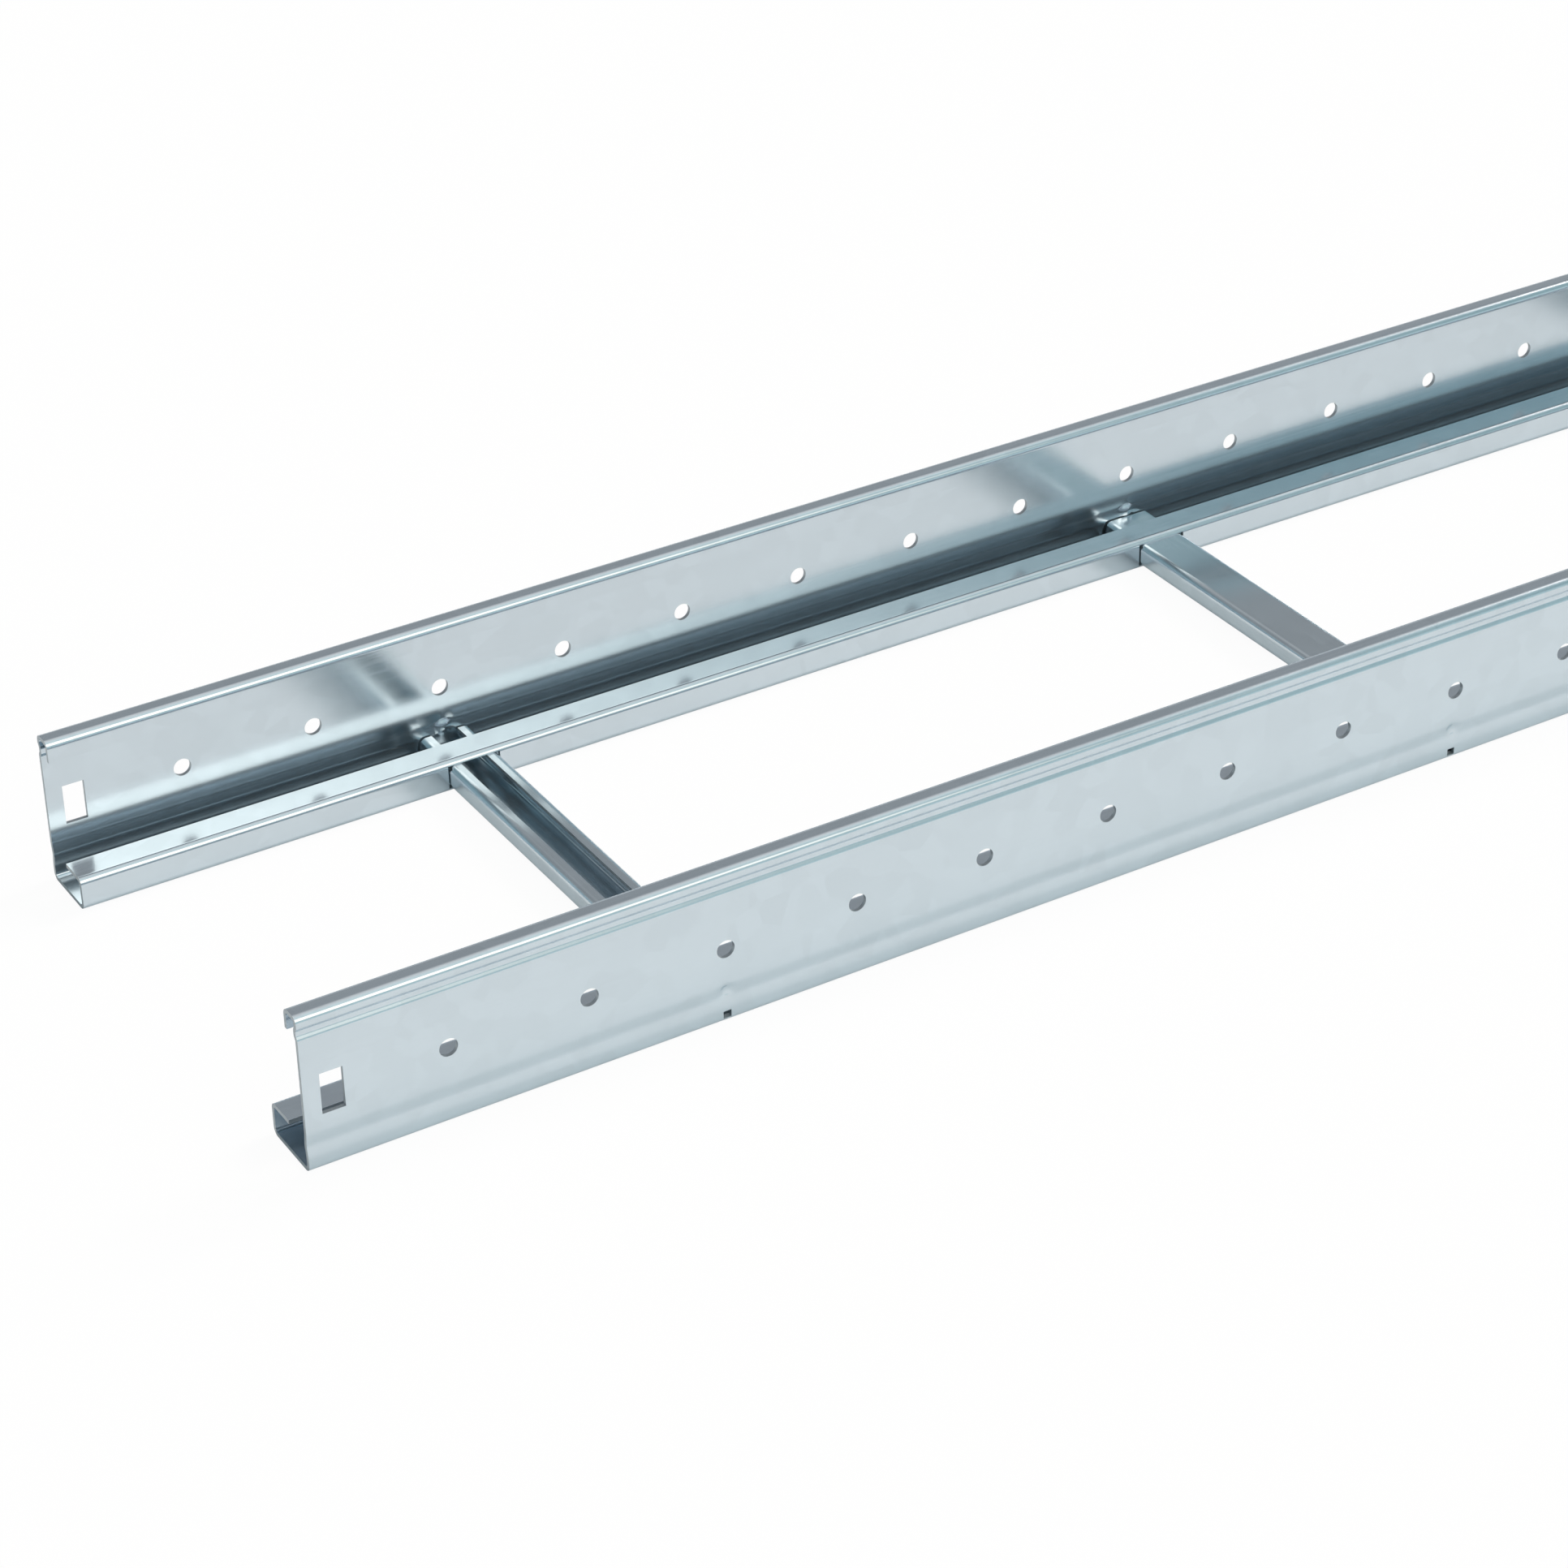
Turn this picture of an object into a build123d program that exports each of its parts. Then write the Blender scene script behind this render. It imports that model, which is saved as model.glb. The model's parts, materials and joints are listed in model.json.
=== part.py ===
from build123d import *
import os

# Straight cable ladder section: two folded side rails joined by channel rungs.
# Millimetres. X runs along the rails, Y across them, Z up from the underside.
# The origin is at the middle of the length and width, on the underside.

ladder_length = 3000.0
ladder_width = 200.0
rung_pitch = 300.0

# Side rail: one sheet strip, folded the same way round from lip to lip.
rail_height = 58.0
rail_sheet = 1.5
rail_bend = 1.2
top_flange_width = 8.7
top_lip_height = 7.8
channel_width = 25.4
channel_height = 12.5
channel_lip_width = 12.5

# Two grooves rolled along the outer face of the web, a tight upper one and a
# soft lower one. Each has a radius inside its edges and one at its floor.
upper_groove_drop = 6.0
upper_groove_width = 4.6
upper_groove_floor = 1.6
upper_groove_depth = 0.9
upper_groove_edge_bend = 0.3
upper_groove_floor_bend = 0.8
lower_groove_height = 10.0
lower_groove_width = 9.0
lower_groove_floor = 1.0
lower_groove_depth = 0.6
lower_groove_edge_bend = 8.5
lower_groove_floor_bend = 2.0

# Row of round holes along each web.
hole_diameter = 6.6
hole_pitch = 50.0
hole_height = 28.5

# Upright slot near each end of a rail.
end_slot_width = 8.0
end_slot_height = 15.0
end_slot_edge = 6.0
end_slot_centre = 28.0

# Small square notch at the foot of the web below each rung.
notch_width = 3.0
notch_height = 3.0

# Rung: a channel with short returned lips, lying on the rails' bottom flanges.
rung_width = 20.0
rung_sheet = 1.5
rung_bend = 1.0
rung_lip = 4.8
seat_clearance = 0.3
window_clearance = 0.4
rung_end_clearance = 0.1


def folded_strip(plane, corners, radii, sheet):
    """Section of a strip that follows the corners, with its sheet on the left."""
    with BuildSketch(plane) as section:
        with BuildLine():
            FilletPolyline(*corners, radius=radii)
            offset(amount=sheet, side=Side.LEFT)
        make_face()
    return section.sketch


def groove(centre, width, floor, depth):
    """Corners of a groove in the web, from its upper edge to its lower one."""
    return [
        (0.0, centre + width / 2),
        (depth, centre + floor / 2),
        (depth, centre - floor / 2),
        (0.0, centre - width / 2),
    ]


def groove_radii(edge_bend, floor_bend):
    """Radii of the outer face at the corners of a groove."""
    edge = edge_bend + rail_sheet
    return [edge, floor_bend, floor_bend, edge]


def rail_blank():
    """Right rail before any cutting, its web's outer face on the near side."""
    upper_groove = groove(
        rail_height - upper_groove_drop,
        upper_groove_width,
        upper_groove_floor,
        upper_groove_depth,
    )
    lower_groove = groove(
        lower_groove_height, lower_groove_width, lower_groove_floor, lower_groove_depth
    )
    outline = [
        (top_flange_width, rail_height - top_lip_height),
        (top_flange_width, rail_height),
        (0.0, rail_height),
        *upper_groove,
        *lower_groove,
        (0.0, 0.0),
        (channel_width, 0.0),
        (channel_width, channel_height),
        (channel_width - channel_lip_width, channel_height),
    ]
    fold = rail_bend + rail_sheet
    radii = [
        fold,
        fold,
        *groove_radii(upper_groove_edge_bend, upper_groove_floor_bend),
        *groove_radii(lower_groove_edge_bend, lower_groove_floor_bend),
        fold,
        fold,
        fold,
    ]
    corners = [(inward - ladder_width / 2, height) for inward, height in outline]
    section = folded_strip(Plane.YZ, corners, radii, rail_sheet)
    return extrude(section, amount=ladder_length / 2, both=True)


def row_positions(pitch, count):
    """Evenly spaced places along the length, centred on its middle."""
    return [(index - (count - 1) / 2) * pitch for index in range(count)]


def web_cutter(width, height):
    """Block that goes through the web alone, from outside it."""
    depth = 2 * (rail_sheet + rail_bend)
    return Box(width, depth, height)


hole_count = int(ladder_length / hole_pitch) - 1
rung_count = int(ladder_length / rung_pitch)
hole_places = row_positions(hole_pitch, hole_count)
rung_places = row_positions(rung_pitch, rung_count)

web_y = -ladder_width / 2 + rail_sheet / 2
slot_place = ladder_length / 2 - end_slot_edge - end_slot_width / 2

hole_tool = Rot(90, 0, 0) * Cylinder(hole_diameter / 2, 4 * rail_sheet)
slot_tool = web_cutter(end_slot_width, end_slot_height)
notch_tool = web_cutter(notch_width, notch_height)

# The window lets a rung through the channel's inner upright and leaves the
# folds above and below it whole.
window_width = rung_width + 2 * window_clearance
window_height = channel_height - 2 * rail_sheet
window_depth = 2 * rail_sheet + rail_bend
window_tool = Box(window_width, window_depth, window_height)
window_y = -ladder_width / 2 + channel_width - rail_sheet - rail_bend + window_depth / 2

cutters = [Pos(place, web_y, hole_height) * hole_tool for place in hole_places]
cutters += [
    Pos(place, web_y, end_slot_centre) * slot_tool for place in (-slot_place, slot_place)
]
cutters += [
    Pos(place, web_y, rail_sheet + notch_height / 2) * notch_tool for place in rung_places
]
cutters += [
    Pos(place, window_y, channel_height / 2) * window_tool for place in rung_places
]

side_rail_right = rail_blank() - cutters
side_rail_left = side_rail_right.mirror(Plane.XZ)

# Rungs reach nearly to the webs at both ends.
rung_height = channel_height - 2 * rail_sheet - seat_clearance
rung_end_gap = rail_sheet + max(lower_groove_depth, rail_bend) + rung_end_clearance
rung_length = ladder_width - 2 * rung_end_gap


def rung_blank():
    """Rung about the origin, resting on its flat, its lips at the top."""
    half = rung_width / 2
    corners = [
        (-half + rung_lip, rung_height),
        (-half, rung_height),
        (-half, 0.0),
        (half, 0.0),
        (half, rung_height),
        (half - rung_lip, rung_height),
    ]
    fold = rung_bend + rung_sheet
    section = folded_strip(Plane.XZ, corners, [fold] * 4, rung_sheet)
    return extrude(section, amount=rung_length / 2, both=True)


# Rungs face up and down in turn, the first one up.
rung_up = rung_blank()
rung_down = Pos(0, 0, rung_height) * Rot(0, 180, 0) * rung_up

os.makedirs("parts", exist_ok=True)
export_step(side_rail_left, "parts/side_rail_left.step")
export_step(side_rail_right, "parts/side_rail_right.step")
for index, place in enumerate(rung_places):
    shape = rung_down if index % 2 else rung_up
    export_step(
        Pos(place, 0, rail_sheet) * shape, f"parts/rung_{index + 1:02d}.step"
    )
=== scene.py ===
"""Looks for a galvanised cable ladder section: two folded side rails and the rungs between them."""

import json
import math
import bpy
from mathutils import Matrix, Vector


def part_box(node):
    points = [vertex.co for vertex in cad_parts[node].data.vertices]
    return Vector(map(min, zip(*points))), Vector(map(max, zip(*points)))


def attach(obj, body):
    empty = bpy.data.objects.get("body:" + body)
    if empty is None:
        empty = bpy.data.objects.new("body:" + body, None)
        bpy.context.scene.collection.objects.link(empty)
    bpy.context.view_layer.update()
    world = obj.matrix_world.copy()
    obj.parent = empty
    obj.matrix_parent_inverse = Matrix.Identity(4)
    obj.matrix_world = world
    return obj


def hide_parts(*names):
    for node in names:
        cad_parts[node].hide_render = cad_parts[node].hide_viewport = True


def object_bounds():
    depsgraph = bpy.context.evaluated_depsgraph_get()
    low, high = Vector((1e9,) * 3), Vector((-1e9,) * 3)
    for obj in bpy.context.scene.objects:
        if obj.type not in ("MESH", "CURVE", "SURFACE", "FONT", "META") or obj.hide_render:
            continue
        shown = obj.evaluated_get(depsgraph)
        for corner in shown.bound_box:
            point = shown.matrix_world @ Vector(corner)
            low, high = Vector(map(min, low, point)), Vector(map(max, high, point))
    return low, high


bl_info = {
    "name": "Cable ladder section",
    "version": (1, 0, 0),
    "blender": (4, 5, 0),
    "location": "View3D > Sidebar > Ladder",
    "description": "Folded side rails and channel rungs in zinc-coated steel, on a white studio floor",
    "category": "Add Mesh",
}

import bpy
import numpy as np
from mathutils import Euler, Matrix

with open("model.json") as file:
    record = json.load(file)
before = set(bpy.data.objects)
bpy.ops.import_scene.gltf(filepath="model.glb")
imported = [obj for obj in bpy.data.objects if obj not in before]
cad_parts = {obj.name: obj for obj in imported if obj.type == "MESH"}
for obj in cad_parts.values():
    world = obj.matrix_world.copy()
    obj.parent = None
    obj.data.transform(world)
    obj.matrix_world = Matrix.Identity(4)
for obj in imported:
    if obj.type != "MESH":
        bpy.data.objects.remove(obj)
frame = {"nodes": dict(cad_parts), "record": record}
CAD_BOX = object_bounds()

MM = 0.001
WHITE = (1.0, 1.0, 1.0, 1.0)

# The near rail comes first, and the far one mirrors it.
RAIL_NODES = ("side_rail_right", "side_rail_left")
RUNG_NODES = sorted(node for node in frame["nodes"] if node.startswith("rung_"))
BODY = "root"

# An arc has at least so many steps for a quarter turn and in all, none of them longer than the longest.
# A guard station stands on the flat beside each end of an arc.
QUARTER_STEPS = 6
LEAST_STEPS = 2
LONGEST_STEP = 0.5 * MM
GUARD = 0.15 * MM

# Places and heights are rounded to so many digits of a metre, so that equal ones merge.
DIGITS = 7

# Steps down the lower groove's upper slope, lines across a press mark, and steps along a rung.
SLOPE_STEPS = 5
PRESS_LINES = 7
RUNG_STEPS = 4

# In degrees: a cut edge that turns by more is rounded, and a finished one that turns by more stays sharp.
BEVEL_ANGLE = 50
SHARP_ANGLE = 20

# Noise textures keep mostly to this part of their range from 0 to 1.
NOISE_LOW = 0.3
NOISE_HIGH = 0.7

# Shares of plain white mixed into the paper, for the camera and for what the metal mirrors.
GLOW_TO_CAMERA = 0.95
GLOW_IN_METAL = 0.1

# The room that the metal mirrors. Its front half blends into its back half where the view's y is less
# than the blend, and its horizon is full up to one height and gone at the other, in degrees.
ROOM_FRONT = "#93B0B4"
ROOM_BACK = "#94979A"
ROOM_BLEND = 0.4
HORIZON_FULL = 6
HORIZON_GONE = 30
HORIZON_STRENGTH = 0.3

# A soft light's heading turns from +Y towards +X and its height is above the horizon. It is full within
# one angle of its direction and gone at the other. All four are in degrees.
FRONT_LIGHT = {
    "colour": "#FFECDB", "heading": 165, "height": 40, "full": 2, "gone": 21.5, "strength": 2.4,
}
END_LIGHT = {
    "colour": "#FFF0E9", "heading": 84, "height": 36, "full": 5, "gone": 14, "strength": 20.0,
}
CEILING = {
    "colour": "#FFF6F0", "heading": 0, "height": 90, "full": 20, "gone": 52, "strength": 0.5,
}

# Colour sockets of the Mix node, which share their names with its other sockets.
MIX_FIRST = 6
MIX_SECOND = 7
MIX_RESULT = 2

# A full-frame camera's sensor in millimetres, and the nearest and farthest places it draws.
SENSOR_WIDTH = 36.0
CLIP_NEAR = 0.05
CLIP_FAR = 100.0


def srgb(hex_colour):
    """Linear RGB of an sRGB hex colour: c / 12.92 below 0.04045, else ((c + 0.055) / 1.055) to the 2.4."""
    levels = np.array([int(hex_colour[i : i + 2], 16) / 255 for i in (1, 3, 5)])
    low = levels / 12.92
    high = ((levels + 0.055) / 1.055) ** 2.4
    return tuple(float(c) for c in np.where(levels <= 0.04045, low, high))


def mount(name):
    """One of the record's mounts, by name."""
    return next(m for m in frame["record"]["mounts"] if m["name"] == name)


class LadderRailSizes(bpy.types.PropertyGroup):
    """Sizes of a side rail's folds, grooves and cut-outs."""

    sheet: bpy.props.FloatProperty(
        name="Sheet", description="Thickness of the rail's strip", default=1.5 * MM, unit="LENGTH"
    )
    bend: bpy.props.FloatProperty(
        name="Bend", description="Inside radius of the folds", default=1.2 * MM, unit="LENGTH"
    )
    top_flange: bpy.props.FloatProperty(
        name="Top flange", description="Width of the top flange", default=8.7 * MM, unit="LENGTH"
    )
    top_lip: bpy.props.FloatProperty(
        name="Top lip", description="Height of the lip turned down from the top flange",
        default=7.8 * MM, unit="LENGTH",
    )
    channel_height: bpy.props.FloatProperty(
        name="Channel height", description="Height of the bottom channel's inner upright",
        default=12.5 * MM, unit="LENGTH",
    )
    channel_lip: bpy.props.FloatProperty(
        name="Channel lip", description="Width of the lip turned back towards the web",
        default=12.5 * MM, unit="LENGTH",
    )
    upper_groove_depth: bpy.props.FloatProperty(
        name="Upper groove depth", description="Depth of the upper groove", default=0.9 * MM,
        unit="LENGTH",
    )
    upper_groove_edge: bpy.props.FloatProperty(
        name="Upper groove edge", description="Outside radius at the upper groove's edges",
        default=1.8 * MM, unit="LENGTH",
    )
    upper_groove_floor: bpy.props.FloatProperty(
        name="Upper groove floor", description="Outside radius at the upper groove's floor",
        default=0.8 * MM, unit="LENGTH",
    )
    lower_groove_depth: bpy.props.FloatProperty(
        name="Lower groove depth", description="Depth of the lower groove", default=0.6 * MM,
        unit="LENGTH",
    )
    lower_groove_edge: bpy.props.FloatProperty(
        name="Lower groove edge", description="Outside radius at the lower groove's edges",
        default=10.0 * MM, unit="LENGTH",
    )
    lower_groove_floor: bpy.props.FloatProperty(
        name="Lower groove floor", description="Outside radius at the lower groove's floor",
        default=2.0 * MM, unit="LENGTH",
    )
    upper_groove_drop: bpy.props.FloatProperty(
        name="Upper groove drop", description="Upper groove's centre below the rail's top",
        default=6.0 * MM, unit="LENGTH",
    )
    upper_groove_width: bpy.props.FloatProperty(
        name="Upper groove width", description="Upper groove's width at the web's face",
        default=4.6 * MM, unit="LENGTH",
    )
    upper_groove_flat: bpy.props.FloatProperty(
        name="Upper groove flat", description="Width of the upper groove's floor",
        default=1.6 * MM, unit="LENGTH",
    )
    lower_groove_height: bpy.props.FloatProperty(
        name="Lower groove height", description="Lower groove's centre above the underside",
        default=10.0 * MM, unit="LENGTH",
    )
    lower_groove_width: bpy.props.FloatProperty(
        name="Lower groove width", description="Lower groove's width at the web's face",
        default=9.0 * MM, unit="LENGTH",
    )
    lower_groove_flat: bpy.props.FloatProperty(
        name="Lower groove flat", description="Width of the lower groove's floor",
        default=1.0 * MM, unit="LENGTH",
    )
    slot_width: bpy.props.FloatProperty(
        name="End slot width", description="Width of the upright slot near a rail's end",
        default=8.0 * MM, unit="LENGTH",
    )
    slot_height: bpy.props.FloatProperty(
        name="End slot height", description="Height of the upright slot", default=15.0 * MM,
        unit="LENGTH",
    )
    notch: bpy.props.FloatProperty(
        name="Foot notch", description="Side of the square notch at the web's foot",
        default=3.0 * MM, unit="LENGTH",
    )
    press_height: bpy.props.FloatProperty(
        name="Press mark height", description="Centre of the mark pressed over each rung's end",
        default=12.4 * MM, unit="LENGTH",
    )
    press_radius: bpy.props.FloatProperty(
        name="Press mark radius", description="Reach of the mark pressed over each rung's end",
        default=3.6 * MM, unit="LENGTH",
    )
    press_depth: bpy.props.FloatProperty(
        name="Press mark depth", description="Depth of the mark pressed over each rung's end",
        default=1.0 * MM, unit="LENGTH",
    )
    window_clearance: bpy.props.FloatProperty(
        name="Window clearance", description="Room beside a rung in its window",
        default=0.4 * MM, unit="LENGTH",
    )
    hole_margin: bpy.props.FloatProperty(
        name="Hole margin", description="Half the square of sheet worked round each web hole",
        default=7.0 * MM, unit="LENGTH",
    )
    hole_sides: bpy.props.IntProperty(
        name="Hole sides", description="Points round each web hole, a multiple of four", default=32
    )


class LadderRungSizes(bpy.types.PropertyGroup):
    """Sizes of a rung's folds."""

    sheet: bpy.props.FloatProperty(
        name="Sheet", description="Thickness of the rung's strip", default=1.5 * MM, unit="LENGTH"
    )
    bend: bpy.props.FloatProperty(
        name="Bend", description="Inside radius of the folds", default=1.0 * MM, unit="LENGTH"
    )
    lip: bpy.props.FloatProperty(
        name="Lip", description="Width of the lips along the rung's open side", default=4.8 * MM,
        unit="LENGTH",
    )


class LadderFinish(bpy.types.PropertyGroup):
    """Colours and gloss of the zinc-coated strip."""

    rail_colour: bpy.props.FloatVectorProperty(
        name="Rail zinc", description="Zinc of the rails", subtype="COLOR", size=3,
        default=srgb("#D1DCE4"),
    )
    rung_colour: bpy.props.FloatVectorProperty(
        name="Rung zinc", description="Zinc of the rungs", subtype="COLOR", size=3,
        default=srgb("#D0DBE2"),
    )
    edge_colour: bpy.props.FloatVectorProperty(
        name="Cut edge", description="Steel where the strip was sheared or punched", subtype="COLOR",
        size=3, default=srgb("#A9B2B8"),
    )
    gloss: bpy.props.FloatProperty(
        name="Roughness", description="Roughness of the coated faces", default=0.17, min=0.0, max=1.0
    )
    edge_bevel: bpy.props.FloatProperty(
        name="Edge rounding", description="Rounding of the cut edges", default=0.14 * MM, unit="LENGTH"
    )


class LadderStage(bpy.types.PropertyGroup):
    """Floor, light and camera."""

    camera_place: bpy.props.FloatVectorProperty(
        name="Camera", description="Camera position from the photograph's vanishing points",
        subtype="TRANSLATION", size=3, default=(-1.89025, -1.03765, 0.75801),
    )
    heading: bpy.props.FloatProperty(
        name="Heading", description="Turn of the view from +Y towards +X", subtype="ANGLE",
        default=math.radians(30.99),
    )
    tilt: bpy.props.FloatProperty(
        name="Tilt", description="Angle of the view below level", subtype="ANGLE",
        default=math.radians(31.68),
    )
    roll: bpy.props.FloatProperty(
        name="Roll", description="Turn of the camera about its own axis", subtype="ANGLE",
        default=math.radians(-1.084),
    )
    lens: bpy.props.FloatProperty(name="Lens", description="Focal length in millimetres", default=93.4)
    floor_side: bpy.props.FloatProperty(
        name="Floor side", description="Side of the square floor", default=24.0, unit="LENGTH"
    )


def add_node(tree, kind, settings=None, values=None, links=None):
    """A shader node: settings are attributes, values input defaults, links sockets joined to inputs."""
    node = tree.nodes.new(kind)
    for name, value in (settings or {}).items():
        setattr(node, name, value)
    for name, value in (values or {}).items():
        node.inputs[name].default_value = value
    for name, socket in (links or {}).items():
        tree.links.new(socket, node.inputs[name])
    return node


def new_material(name):
    """An empty node material and its tree."""
    material = bpy.data.materials.new(name)
    material.use_nodes = True
    material.node_tree.nodes.clear()
    return material, material.node_tree


def galvanised_strip(name, colour, roughness, along):
    """Cold-rolled steel strip, continuously hot-dip galvanised and skin-passed.

    The zinc gives a pale blue-grey mirror blurred by the rolls: long faint streaks along the rolling
    direction, a barely visible spangle about 9 mm across, and slow waves that bend what it reflects.
    Its thin oxide is a little dull, so it is not quite all metal. The colour is multiplied by the
    streaks' shade and by the spangle's. along is the rolling direction, 0 for X and 1 for Y.
    """
    material, tree = new_material(name)
    streak_width = 0.8 * MM
    streak_length = 90 * MM
    spangle = 9 * MM
    wave = 45 * MM
    streak_dark, streak_light = 0.985, 1.01
    grain_dark, grain_light = 0.975, 1.02
    glossier, duller = 0.02, 0.03
    wave_height, wave_strength = 1.0 * MM, 0.05
    streak_height, streak_strength = 0.02 * MM, 0.02
    metal_share = 0.93
    across = 1 / streak_width
    stretch = [across, across, across]
    stretch[along] = 1 / streak_length
    place = add_node(tree, "ShaderNodeTexCoord")
    rolled = add_node(
        tree, "ShaderNodeMapping", values={"Scale": stretch}, links={"Vector": place.outputs["Object"]}
    )
    streaks = add_node(
        tree, "ShaderNodeTexNoise", values={"Scale": 1.0, "Detail": 3.0, "Roughness": 0.6},
        links={"Vector": rolled.outputs["Vector"]},
    )
    grains = add_node(
        tree, "ShaderNodeTexVoronoi", values={"Scale": 1 / spangle, "Randomness": 1.0},
        links={"Vector": place.outputs["Object"]},
    )
    grain_grey = add_node(
        tree, "ShaderNodeSeparateColor", links={"Color": grains.outputs["Color"]}
    )
    waves = add_node(
        tree, "ShaderNodeTexNoise", values={"Scale": 1 / wave, "Detail": 2.0},
        links={"Vector": place.outputs["Object"]},
    )
    streak_shade = add_node(
        tree, "ShaderNodeMapRange",
        values={
            "From Min": NOISE_LOW, "From Max": NOISE_HIGH, "To Min": streak_dark, "To Max": streak_light,
        },
        links={"Value": streaks.outputs["Fac"]},
    )
    grain_shade = add_node(
        tree, "ShaderNodeMapRange", values={"To Min": grain_dark, "To Max": grain_light},
        links={"Value": grain_grey.outputs["Red"]},
    )
    shade = add_node(
        tree, "ShaderNodeMath", {"operation": "MULTIPLY"},
        links={0: streak_shade.outputs["Result"], 1: grain_shade.outputs["Result"]},
    )
    tone = add_node(
        tree, "ShaderNodeVectorMath", {"operation": "SCALE"}, values={0: colour},
        links={"Scale": shade.outputs["Value"]},
    )
    blur = add_node(
        tree, "ShaderNodeMapRange",
        values={
            "From Min": NOISE_LOW, "From Max": NOISE_HIGH,
            "To Min": roughness - glossier, "To Max": roughness + duller,
        },
        links={"Value": streaks.outputs["Fac"]},
    )
    wave_bump = add_node(
        tree, "ShaderNodeBump", values={"Strength": wave_strength, "Distance": wave_height},
        links={"Height": waves.outputs["Fac"]},
    )
    streak_bump = add_node(
        tree, "ShaderNodeBump", values={"Strength": streak_strength, "Distance": streak_height},
        links={"Height": streaks.outputs["Fac"], "Normal": wave_bump.outputs["Normal"]},
    )
    metal = add_node(
        tree, "ShaderNodeBsdfPrincipled", values={"Metallic": metal_share},
        links={
            "Base Color": tone.outputs["Vector"],
            "Roughness": blur.outputs["Result"],
            "Normal": streak_bump.outputs["Normal"],
        },
    )
    add_node(tree, "ShaderNodeOutputMaterial", links={"Surface": metal.outputs["BSDF"]})
    return material


def sheared_edge(name, colour):
    """Sheared steel edge: zinc wiped over a grey break, so duller and rougher than the coated face.

    Its grit, 0.35 mm, shades the colour and roughens the surface.
    """
    material, tree = new_material(name)
    grit = 0.35 * MM
    grit_dark, grit_light = 0.82, 1.1
    grit_height, grit_strength = 0.05 * MM, 0.3
    roughness = 0.5
    place = add_node(tree, "ShaderNodeTexCoord")
    break_noise = add_node(
        tree, "ShaderNodeTexNoise", values={"Scale": 1 / grit, "Detail": 2.0},
        links={"Vector": place.outputs["Object"]},
    )
    shade = add_node(
        tree, "ShaderNodeMapRange",
        values={
            "From Min": NOISE_LOW, "From Max": NOISE_HIGH, "To Min": grit_dark, "To Max": grit_light,
        },
        links={"Value": break_noise.outputs["Fac"]},
    )
    tone = add_node(
        tree, "ShaderNodeVectorMath", {"operation": "SCALE"}, values={0: colour},
        links={"Scale": shade.outputs["Result"]},
    )
    bump = add_node(
        tree, "ShaderNodeBump", values={"Strength": grit_strength, "Distance": grit_height},
        links={"Height": break_noise.outputs["Fac"]},
    )
    metal = add_node(
        tree, "ShaderNodeBsdfPrincipled", values={"Metallic": 1.0, "Roughness": roughness},
        links={"Base Color": tone.outputs["Vector"], "Normal": bump.outputs["Normal"]},
    )
    add_node(tree, "ShaderNodeOutputMaterial", links={"Surface": metal.outputs["BSDF"]})
    return material


def rounded_line(corners, radii):
    """Stations along a polyline with its corners rounded, as an array of (across, height) points.

    At a corner that turns by t with radius r the arc starts r * tan(t / 2) before the corner; a point at
    angle a on it is the start plus r * sin(a) along the way in and r * (1 - cos(a)) to the turn's side.
    A guard station on the flat just before and after each arc keeps the flats' shading flat. A corner
    with radius 0 is a station as it stands.
    """
    corners = np.array(corners)
    stations = [corners[:1]]
    for before, corner, after, radius in zip(corners[:-2], corners[1:-1], corners[2:], radii):
        way_in = (corner - before) / np.linalg.norm(corner - before)
        way_out = (after - corner) / np.linalg.norm(after - corner)
        side = way_in[0] * way_out[1] - way_in[1] * way_out[0]
        turn = math.atan2(abs(side), float(way_in @ way_out))
        if radius == 0:
            stations.append(corner[None, :])
            continue
        start = corner - way_in * radius * math.tan(turn / 2)
        inward = np.array([-way_in[1], way_in[0]]) * math.copysign(1, side)
        turn_steps = math.ceil(QUARTER_STEPS * turn / (math.pi / 2))
        length_steps = math.ceil(radius * turn / LONGEST_STEP)
        steps = max(LEAST_STEPS, turn_steps, length_steps)
        angle = np.linspace(0, turn, steps + 1)[:, None]
        arc = start + radius * (np.sin(angle) * way_in + (1 - np.cos(angle)) * inward)
        stations += [arc[:1] - GUARD * way_in, arc, arc[-1:] + GUARD * way_out]
    stations.append(corners[-1:])
    return np.concatenate(stations)


def nearest(line, across, height):
    """Index of the station nearest to a point of the section."""
    return int(np.argmin(np.hypot(line[:, 0] - across, line[:, 1] - height)))


def strip_cells(line, along, cuts):
    """Quads between the stations and the lines along the strip, without the cells inside the cuts.

    A grid point has the index i * len(line) + j. A cut is (first, last, top, bottom): two places along
    the strip and two station indices.
    """
    i, j = np.meshgrid(np.arange(len(along) - 1), np.arange(len(line) - 1), indexing="ij")
    middle = (along[i] + along[i + 1]) / 2
    keep = np.ones(i.shape, bool)
    for first, last, top, bottom in cuts:
        keep &= ~((middle > first) & (middle < last) & (j >= top) & (j < bottom))
    corner = (i * len(line) + j)[keep]
    quads = np.stack([corner, corner + 1, corner + 1 + len(line), corner + len(line)], axis=1)
    return quads.tolist()


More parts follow.
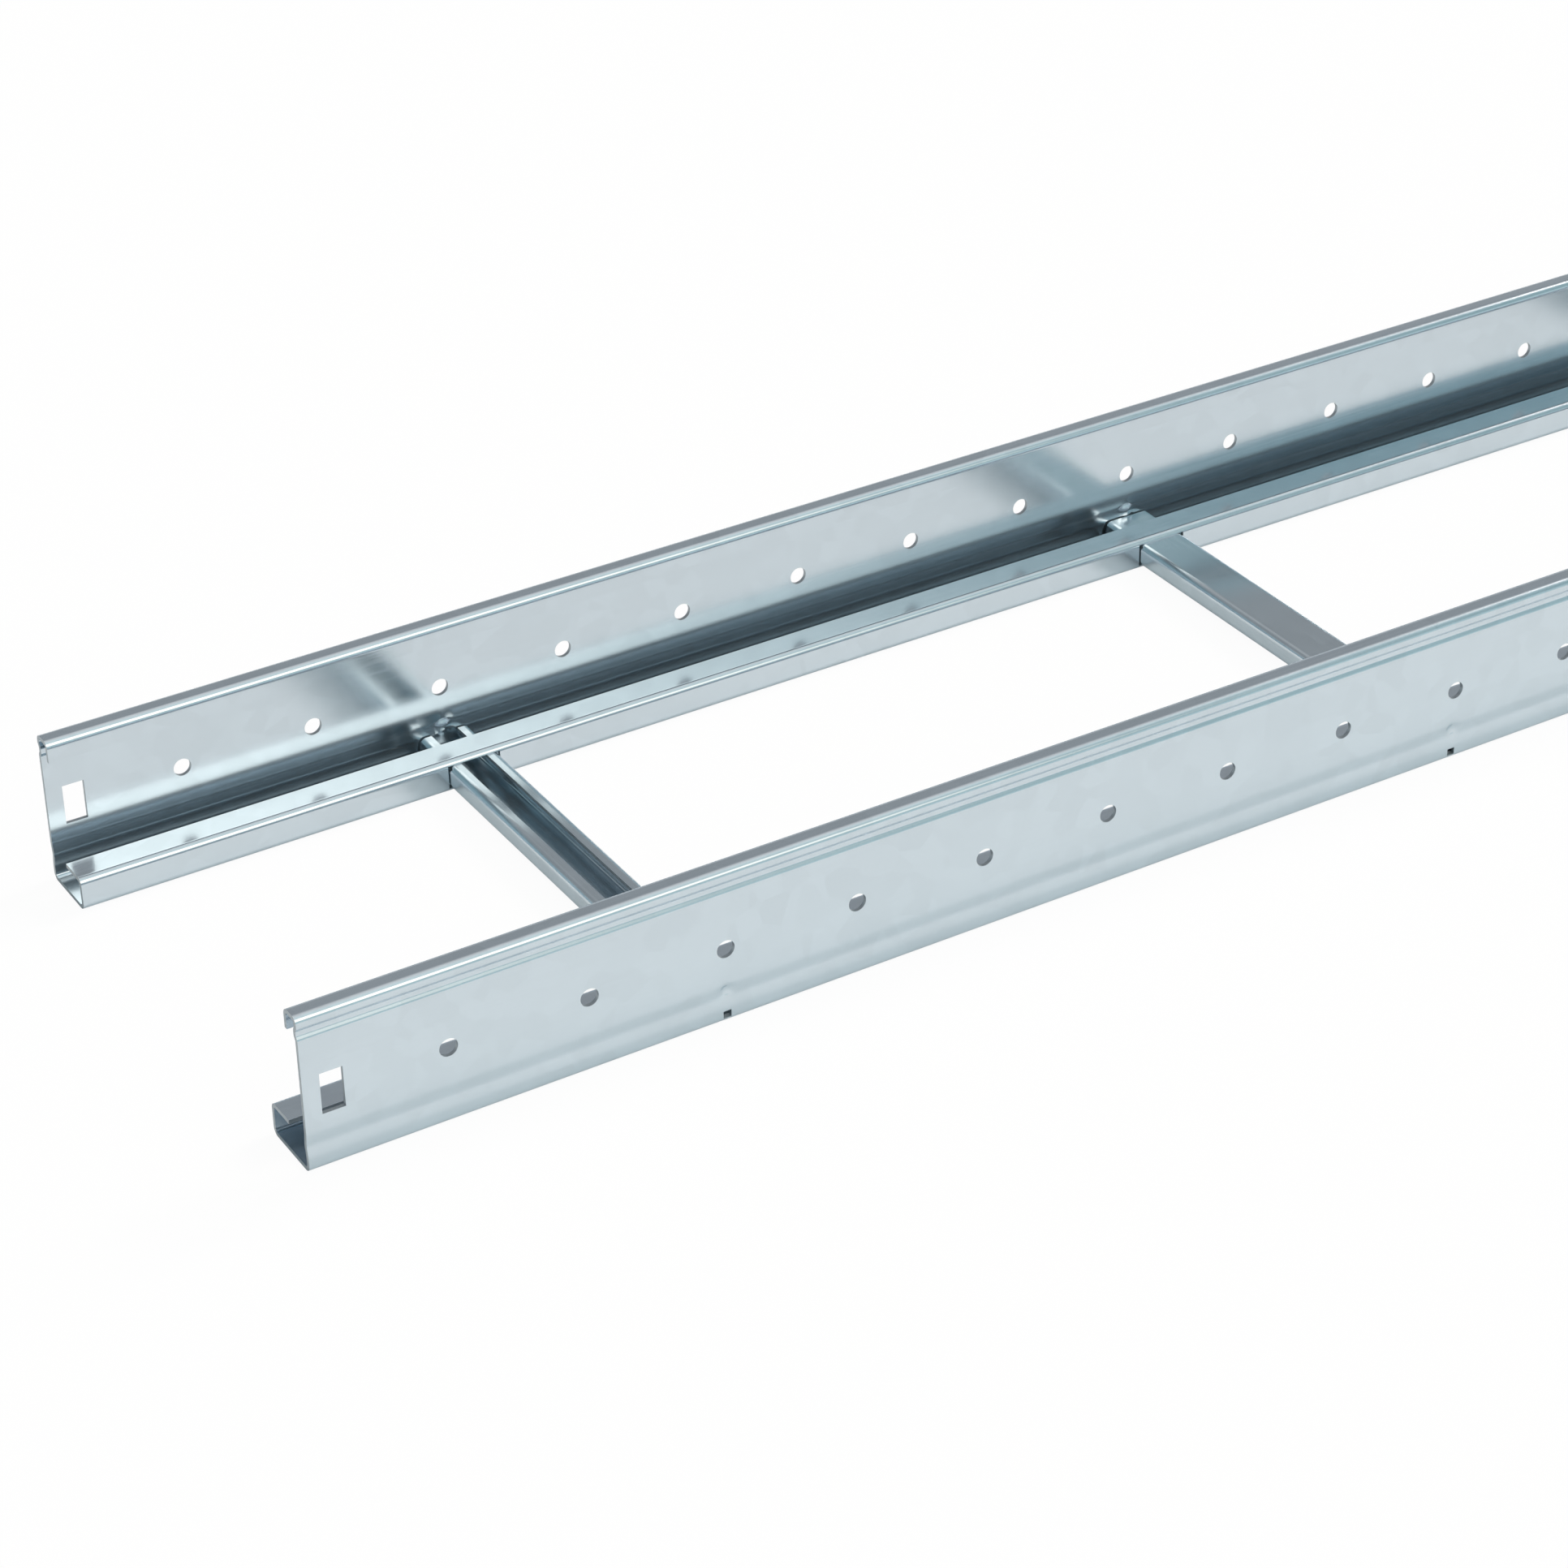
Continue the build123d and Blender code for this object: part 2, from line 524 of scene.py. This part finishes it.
def hole_faces(line, along, centre, height, radius, margin, sides, first_index):
    """A round hole in the square of sheet centre +- margin, as a ring of quads and four plane faces.

    Ring points stand at even angles from the square's lower right corner, on two circles, the hole's and
    one a sixth of the margin wider: centre + radius * cos(angle) along, height + radius * sin(angle) up.
    Each plane face runs along one side of the square and back along a quarter of the wider circle.
    """
    angle = -math.pi / 4 + 2 * math.pi * np.arange(sides) / sides
    rim_width = margin / 6
    circles = [
        np.stack([centre + reach * np.cos(angle), height + reach * np.sin(angle)], axis=1)
        for reach in (radius, radius + rim_width)
    ]
    inner = first_index + np.arange(sides)
    outer = inner + sides
    ring = np.stack([inner, outer, np.roll(outer, -1), np.roll(inner, -1)], axis=1).tolist()
    top = nearest(line, 0.0, height + margin)
    bottom = nearest(line, 0.0, height - margin)
    tolerance = 0.001 * MM
    columns = np.flatnonzero(np.abs(along - centre) < margin + tolerance)
    rows = np.arange(top, bottom + 1)
    width = len(line)
    right_side = (columns[-1] * width + rows)[::-1]
    top_side = (columns * width + top)[::-1]
    left_side = columns[0] * width + rows
    bottom_side = columns * width + bottom
    quarter = sides // 4
    faces = []
    for turn, side in enumerate((right_side, top_side, left_side, bottom_side)):
        arc = outer[(turn * quarter + np.arange(quarter + 1)) % sides][::-1]
        faces.append([*side.tolist(), *arc.tolist()])
    return np.concatenate(circles), ring + faces


def sheet_piece(name, points, faces, thickness, materials, bevel):
    """A sheet from its outer face: loose points dropped, thickened inwards, its cut edges just rounded.

    Solidify moves a copy of the face inwards by the thickness and gives the rim between them the second
    material. Bevel then rounds the rim's edges.
    """
    used = np.unique(np.concatenate([np.array(face) for face in faces]))
    place = np.full(len(points), -1)
    place[used] = np.arange(len(used))
    mesh = bpy.data.meshes.new(name)
    mesh.from_pydata(points[used].tolist(), [], [place[face].tolist() for face in faces])
    mesh.validate()
    mesh.shade_smooth()
    piece = bpy.data.objects.new(name, mesh)
    bpy.context.scene.collection.objects.link(piece)
    for material in materials:
        mesh.materials.append(material)
    solid = piece.modifiers.new("sheet", "SOLIDIFY")
    solid.thickness = thickness
    solid.offset = -1.0
    solid.use_even_offset = True
    solid.material_offset_rim = 1
    rounding = piece.modifiers.new("burr", "BEVEL")
    rounding.width = bevel
    rounding.segments = 2
    rounding.limit_method = "ANGLE"
    rounding.angle_limit = math.radians(BEVEL_ANGLE)
    evaluated = piece.evaluated_get(bpy.context.evaluated_depsgraph_get())
    finished = bpy.data.meshes.new_from_object(evaluated)
    finished.name = name
    piece.modifiers.clear()
    piece.data = finished
    finished.shade_smooth()
    finished.set_sharp_from_angle(angle=math.radians(SHARP_ANGLE))
    return piece


def groove(centre, width, flat, depth):
    """Corners of a groove in the web, from its upper edge down."""
    return [
        (0.0, centre + width / 2), (depth, centre + flat / 2), (depth, centre - flat / 2),
        (0.0, centre - width / 2),
    ]


def rail_stations(sizes, height, channel, hole_height, slot_low, slot_high):
    """Section of a rail's outer face from the top lip's edge to the channel lip's, across from the web.

    The corners of the folds and of both grooves are rounded. Between them lie stations at the heights
    where the holes' squares, the end slots and the press marks begin or end, and others down the lower
    groove's upper slope, clear of its arcs, for the press marks to bend.
    """
    fold = sizes.bend + sizes.sheet
    upper = groove(
        height - sizes.upper_groove_drop, sizes.upper_groove_width, sizes.upper_groove_flat,
        sizes.upper_groove_depth,
    )
    lower = groove(
        sizes.lower_groove_height, sizes.lower_groove_width, sizes.lower_groove_flat,
        sizes.lower_groove_depth,
    )
    marks = [
        slot_high, slot_low, hole_height + sizes.hole_margin, hole_height - sizes.hole_margin,
        sizes.press_height + sizes.press_radius,
    ]
    on_web = [(0.0, mark) for mark in np.unique(np.round(marks, DIGITS))[::-1]]
    on_slope = [tuple(point) for point in np.linspace(lower[0], lower[1], SLOPE_STEPS + 1)[2:-1]]
    corners = [
        (sizes.top_flange, height - sizes.top_lip), (sizes.top_flange, height), (0.0, height),
        *upper, *on_web, lower[0], *on_slope, *lower[1:],
        (0.0, 0.0), (channel, 0.0), (channel, sizes.channel_height),
        (channel - sizes.channel_lip, sizes.channel_height),
    ]
    upper_edge, upper_floor = sizes.upper_groove_edge, sizes.upper_groove_floor
    lower_edge, lower_floor = sizes.lower_groove_edge, sizes.lower_groove_floor
    radii = [fold, fold, upper_edge, upper_floor, upper_floor, upper_edge, *[0.0] * len(on_web)]
    radii += [lower_edge, *[0.0] * len(on_slope), lower_floor, lower_floor, lower_edge]
    radii += [fold, fold, fold]
    return rounded_line(corners, radii)


def either_side(places, reach):
    """Places that far before and after each of the given ones."""
    return [place + side * reach for place in places for side in (-1, 1)]


def cut_outs(places, reach, rows):
    """Cuts for strip_cells, that far to either side of each place and between the two rows."""
    return [(place - reach, place + reach, *rows) for place in places]


def press_marks(grid, places, sizes, channel):
    """Push a round mark into the web's points over each rung's end.

    A point moves inwards by depth * cos(share * quarter turn) squared, where share is its distance from
    the mark's centre over the mark's radius, up to 1.
    """
    for place in places:
        share = np.hypot(grid[:, 0] - place, grid[:, 2] - sizes.press_height) / sizes.press_radius
        pressed = (share < 1) & (grid[:, 1] < channel / 2)
        grid[pressed, 1] += sizes.press_depth * np.cos(share[pressed] * math.pi / 2) ** 2


def rail_points_and_faces(sizes, node):
    """A near-side rail's outer face, with its holes, slots, foot notches, rung windows and press marks.

    The section is carried along X: a line of its points stands at each place where one of these begins
    or ends, x being the place, y the section's across and z its height. Cells inside a cut are left out.
    """
    low, high = (np.array(corner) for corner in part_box(node))
    height, channel = float(high[2] - low[2]), float(high[1] - low[1])
    start, end = float(low[0]), float(high[0])
    bolts = mount("near_rail_start_bolts")
    hole_radius = bolts["dims"]["hole_r_mm"] * MM
    pitch = bolts["dims"]["spacing_x_mm"] * MM
    hole_height = bolts["pos_m"][2]
    slot = mount("near_rail_start_slot")
    slot_low = slot["pos_m"][2] - sizes.slot_height / 2
    slot_high = slot["pos_m"][2] + sizes.slot_height / 2
    line = rail_stations(sizes, height, channel, hole_height, slot_low, slot_high)

    slots = [slot["pos_m"][0], -slot["pos_m"][0]]
    holes = np.arange(start + pitch, end - pitch / 2, pitch)
    rung_boxes = [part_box(rung) for rung in RUNG_NODES]
    rungs = [(first[0] + last[0]) / 2 for first, last in rung_boxes]
    rung_width = rung_boxes[0][1][0] - rung_boxes[0][0][0]
    half_window = rung_width / 2 + sizes.window_clearance
    half_slot, half_notch = sizes.slot_width / 2, sizes.notch / 2
    lines = [start, end]
    lines += either_side(slots, half_slot)
    lines += either_side(holes, sizes.hole_margin)
    lines += either_side(rungs, half_window)
    lines += either_side(rungs, half_notch)
    for share in np.linspace(-1, 1, PRESS_LINES):
        lines += [place + share * sizes.press_radius for place in rungs]
    along = np.unique(np.round(lines, DIGITS))

    hole_rows = (
        nearest(line, 0.0, hole_height + sizes.hole_margin),
        nearest(line, 0.0, hole_height - sizes.hole_margin),
    )
    slot_rows = (nearest(line, 0.0, slot_high), nearest(line, 0.0, slot_low))
    notch_rows = (nearest(line, 0.0, sizes.sheet + sizes.notch), nearest(line, 0.0, sizes.sheet))
    window_rows = (
        nearest(line, channel, sizes.sheet), nearest(line, channel, sizes.channel_height - sizes.sheet)
    )
    cuts = cut_outs(slots, half_slot, slot_rows)
    cuts += cut_outs(holes, sizes.hole_margin, hole_rows)
    cuts += cut_outs(rungs, half_window, window_rows)
    cuts += cut_outs(rungs, half_notch, notch_rows)
    faces = strip_cells(line, along, cuts)

    grid = np.stack([np.repeat(along, len(line)), *np.tile(line, (len(along), 1)).T], axis=1)
    press_marks(grid, rungs, sizes, channel)
    blocks = [grid]
    count = len(grid)
    for place in holes:
        ring, ring_faces = hole_faces(
            line, along, place, hole_height, hole_radius, sizes.hole_margin, sizes.hole_sides, count
        )
        blocks.append(np.stack([ring[:, 0], np.zeros(len(ring)), ring[:, 1]], axis=1))
        faces += ring_faces
        count += len(ring)
    points = np.concatenate(blocks)
    points[:, 1] += low[1]
    return points, faces


def rung_points_and_faces(sizes, node, opens_up):
    """A rung's outer face: a channel with returned lips, its open side up or down.

    The section is carried along Y in even steps, x being the middle of the node plus the section's
    across and z the node's underside plus its height. Open side down, the section is turned half round:
    across becomes -across, and height becomes the rung's height - height.
    """
    low, high = (np.array(corner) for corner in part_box(node))
    half, height = float(high[0] - low[0]) / 2, float(high[2] - low[2])
    fold = sizes.bend + sizes.sheet
    corners = [
        (-half + sizes.lip, height), (-half, height), (-half, 0.0), (half, 0.0), (half, height),
        (half - sizes.lip, height),
    ]
    line = rounded_line(corners, [fold] * 4)
    if not opens_up:
        line = line * (-1, -1) + (0.0, height)
    along = np.linspace(low[1], high[1], RUNG_STEPS + 1)
    faces = strip_cells(line, along, [])
    across, up = np.tile(line, (len(along), 1)).T
    middle = (low[0] + high[0]) / 2
    points = np.stack([across + middle, np.repeat(along, len(line)), up + low[2]], axis=1)
    return points, [face[::-1] for face in faces]


class LADDER_OT_rails(bpy.types.Operator):
    """Fold the two side rails from strip, the far one with y turned to -y and its faces turned back."""

    bl_idname = "ladder.rails"
    bl_label = "Side rails"

    def execute(self, context):
        sizes, finish = context.scene.ladder_rail, context.scene.ladder_finish
        zinc = tuple(finish.rail_colour)
        coated = galvanised_strip("galvanised_rail_strip", zinc, finish.gloss, along=0)
        edge = sheared_edge("sheared_zinc_edge", tuple(finish.edge_colour))
        points, faces = rail_points_and_faces(sizes, RAIL_NODES[0])
        near_side = (points, faces)
        far_side = (points * (1, -1, 1), [face[::-1] for face in faces])
        for node, side in zip(RAIL_NODES, (near_side, far_side)):
            rail = sheet_piece(f"{node}_strip", *side, sizes.sheet, (coated, edge), finish.edge_bevel)
            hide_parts(node)
            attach(rail, BODY)
        return {"FINISHED"}


class LADDER_OT_rungs(bpy.types.Operator):
    """Fold the rungs from strip, open side up and down in turn."""

    bl_idname = "ladder.rungs"
    bl_label = "Rungs"

    def execute(self, context):
        sizes, finish = context.scene.ladder_rung, context.scene.ladder_finish
        zinc = tuple(finish.rung_colour)
        coated = galvanised_strip("galvanised_rung_strip", zinc, finish.gloss, along=1)
        edge = sheared_edge("sheared_rung_edge", tuple(finish.edge_colour))
        for index, node in enumerate(RUNG_NODES):
            shape = rung_points_and_faces(sizes, node, opens_up=index % 2 == 0)
            rung = sheet_piece(f"{node}_strip", *shape, sizes.sheet, (coated, edge), finish.edge_bevel)
            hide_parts(node)
            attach(rung, BODY)
        return {"FINISHED"}


def white_floor(name):
    """White studio floor: plain white to the camera, and in the metal mostly the paper with its shadows.

    The shader is share * white glow + (1 - share) * paper, and the share depends on the ray.
    """
    material, tree = new_material(name)
    rays = add_node(tree, "ShaderNodeLightPath")
    mirrored = add_node(
        tree, "ShaderNodeMath", {"operation": "MAXIMUM"},
        links={0: rays.outputs["Is Glossy Ray"], 1: rays.outputs["Is Transmission Ray"]},
    )
    in_metal = add_node(
        tree, "ShaderNodeMath", {"operation": "MULTIPLY"}, values={1: GLOW_IN_METAL},
        links={0: mirrored.outputs["Value"]},
    )
    to_camera = add_node(
        tree, "ShaderNodeMath", {"operation": "MULTIPLY"}, values={1: GLOW_TO_CAMERA},
        links={0: rays.outputs["Is Camera Ray"]},
    )
    share = add_node(
        tree, "ShaderNodeMath", {"operation": "ADD"},
        links={0: in_metal.outputs["Value"], 1: to_camera.outputs["Value"]},
    )
    paper = add_node(tree, "ShaderNodeBsdfDiffuse", values={"Color": (*srgb("#F4F4F4"), 1.0)})
    glow = add_node(tree, "ShaderNodeEmission", values={"Color": WHITE, "Strength": 1.0})
    mix = add_node(
        tree, "ShaderNodeMixShader",
        links={0: share.outputs["Value"], 1: paper.outputs["BSDF"], 2: glow.outputs["Emission"]},
    )
    add_node(tree, "ShaderNodeOutputMaterial", links={"Surface": mix.outputs["Shader"]})
    return material


def soft_light(tree, view, light):
    """A round soft light in the room: full within one angle of its direction, gone at another.

    The nearness of a view to the light is the dot product of their directions, the cosine of the angle
    between them, and the strength rises smoothly from the cosine of one angle to that of the other.
    """
    heading, height = math.radians(light["heading"]), math.radians(light["height"])
    level = math.cos(height)
    towards = (math.sin(heading) * level, math.cos(heading) * level, math.sin(height))
    nearness = add_node(
        tree, "ShaderNodeVectorMath", {"operation": "DOT_PRODUCT"}, values={1: towards}, links={0: view}
    )
    strength = add_node(
        tree, "ShaderNodeMapRange", {"interpolation_type": "SMOOTHSTEP"},
        values={
            "From Min": math.cos(math.radians(light["gone"])),
            "From Max": math.cos(math.radians(light["full"])),
            "To Max": light["strength"],
        },
        links={"Value": nearness.outputs["Value"]},
    )
    return add_node(
        tree, "ShaderNodeBackground", values={"Color": (*srgb(light["colour"]), 1.0)},
        links={"Strength": strength.outputs["Result"]},
    )


def studio_world():
    """Room light: white to the camera; to the metal a grey room with a white horizon and soft lights.

    The front half of the room is cooler than the back. A warm soft light stands in front, a smaller and
    stronger one beyond the far end, so that shadows fall towards the near end, and the ceiling glows.
    All of them are added up.
    """
    world = bpy.data.worlds.new("studio")
    world.use_nodes = True
    tree = world.node_tree
    tree.nodes.clear()
    view = add_node(tree, "ShaderNodeTexCoord").outputs["Generated"]
    parts = add_node(tree, "ShaderNodeSeparateXYZ", links={"Vector": view})
    facing_back = add_node(
        tree, "ShaderNodeMapRange", {"interpolation_type": "SMOOTHSTEP"},
        values={"From Min": -ROOM_BLEND, "From Max": ROOM_BLEND}, links={"Value": parts.outputs["Y"]},
    )
    room = add_node(
        tree, "ShaderNodeMix", {"data_type": "RGBA"},
        values={MIX_FIRST: (*srgb(ROOM_FRONT), 1.0), MIX_SECOND: (*srgb(ROOM_BACK), 1.0)},
        links={0: facing_back.outputs["Result"]},
    )
    horizon = add_node(
        tree, "ShaderNodeMapRange", {"interpolation_type": "SMOOTHSTEP"},
        values={
            "From Min": math.sin(math.radians(HORIZON_GONE)),
            "From Max": math.sin(math.radians(HORIZON_FULL)),
            "To Max": HORIZON_STRENGTH,
        },
        links={"Value": parts.outputs["Z"]},
    )
    light = add_node(tree, "ShaderNodeBackground", links={"Color": room.outputs[MIX_RESULT]})
    white_band = add_node(
        tree, "ShaderNodeBackground", values={"Color": WHITE},
        links={"Strength": horizon.outputs["Result"]},
    )
    soft_lights = [soft_light(tree, view, part) for part in (FRONT_LIGHT, END_LIGHT, CEILING)]
    for part in (white_band, *soft_lights):
        light = add_node(
            tree, "ShaderNodeAddShader", links={0: light.outputs[0], 1: part.outputs["Background"]}
        )
    rays = add_node(tree, "ShaderNodeLightPath")
    white = add_node(tree, "ShaderNodeBackground", values={"Color": WHITE})
    mix = add_node(
        tree, "ShaderNodeMixShader",
        links={0: rays.outputs["Is Camera Ray"], 1: light.outputs[0], 2: white.outputs["Background"]},
    )
    add_node(tree, "ShaderNodeOutputWorld", links={"Surface": mix.outputs["Shader"]})
    return world


class LADDER_OT_stage(bpy.types.Operator):
    """Set the white floor, the studio light and the camera."""

    bl_idname = "ladder.stage"
    bl_label = "Stage"

    def execute(self, context):
        stage = context.scene.ladder_stage
        half = stage.floor_side / 2
        ground = CAD_BOX[0][2]
        square = [
            (-half, -half, ground), (half, -half, ground), (half, half, ground), (-half, half, ground),
        ]
        mesh = bpy.data.meshes.new("floor")
        mesh.from_pydata(square, [], [(0, 1, 2, 3)])
        mesh.materials.append(white_floor("white_floor"))
        floor = bpy.data.objects.new("floor", mesh)
        context.scene.collection.objects.link(floor)
        context.scene.world = studio_world()

        lens = bpy.data.cameras.new("camera")
        lens.lens = stage.lens
        lens.sensor_width = SENSOR_WIDTH
        lens.clip_start = CLIP_NEAR
        lens.clip_end = CLIP_FAR
        camera = bpy.data.objects.new("camera", lens)
        aim = Euler((math.pi / 2 - stage.tilt, 0.0, -stage.heading)).to_matrix().to_4x4()
        camera.matrix_world = (
            Matrix.Translation(stage.camera_place) @ aim @ Matrix.Rotation(stage.roll, 4, "Z")
        )
        context.scene.collection.objects.link(camera)
        context.scene.camera = camera
        context.scene.view_settings.view_transform = "Standard"
        return {"FINISHED"}


class LADDER_PT_panel(bpy.types.Panel):
    """Sidebar panel with the ladder's sizes, finish and making steps."""

    bl_idname = "LADDER_PT_panel"
    bl_label = "Cable ladder"
    bl_space_type = "VIEW_3D"
    bl_region_type = "UI"
    bl_category = "Ladder"

    def draw(self, context):
        for group in (getattr(context.scene, name) for name in GROUPS):
            box = self.layout.box()
            for name in group.__annotations__:
                box.prop(group, name)
        for operator in OPERATORS:
            self.layout.operator(operator.bl_idname)


GROUPS = {
    "ladder_rail": LadderRailSizes,
    "ladder_rung": LadderRungSizes,
    "ladder_finish": LadderFinish,
    "ladder_stage": LadderStage,
}
OPERATORS = (LADDER_OT_rails, LADDER_OT_rungs, LADDER_OT_stage)
CLASSES = (*GROUPS.values(), *OPERATORS, LADDER_PT_panel)


def register():
    """Register the classes and hang the property groups on the scene."""
    for cls in CLASSES:
        bpy.utils.register_class(cls)
    for name, group in GROUPS.items():
        setattr(bpy.types.Scene, name, bpy.props.PointerProperty(type=group))


def unregister():
    """Undo what register did."""
    for name in GROUPS:
        delattr(bpy.types.Scene, name)
    for cls in reversed(CLASSES):
        bpy.utils.unregister_class(cls)


def main():
    """Make the pieces and the stage."""
    register()
    bpy.ops.ladder.rails()
    bpy.ops.ladder.rungs()
    bpy.ops.ladder.stage()


if __name__ == "__main__":
    main()
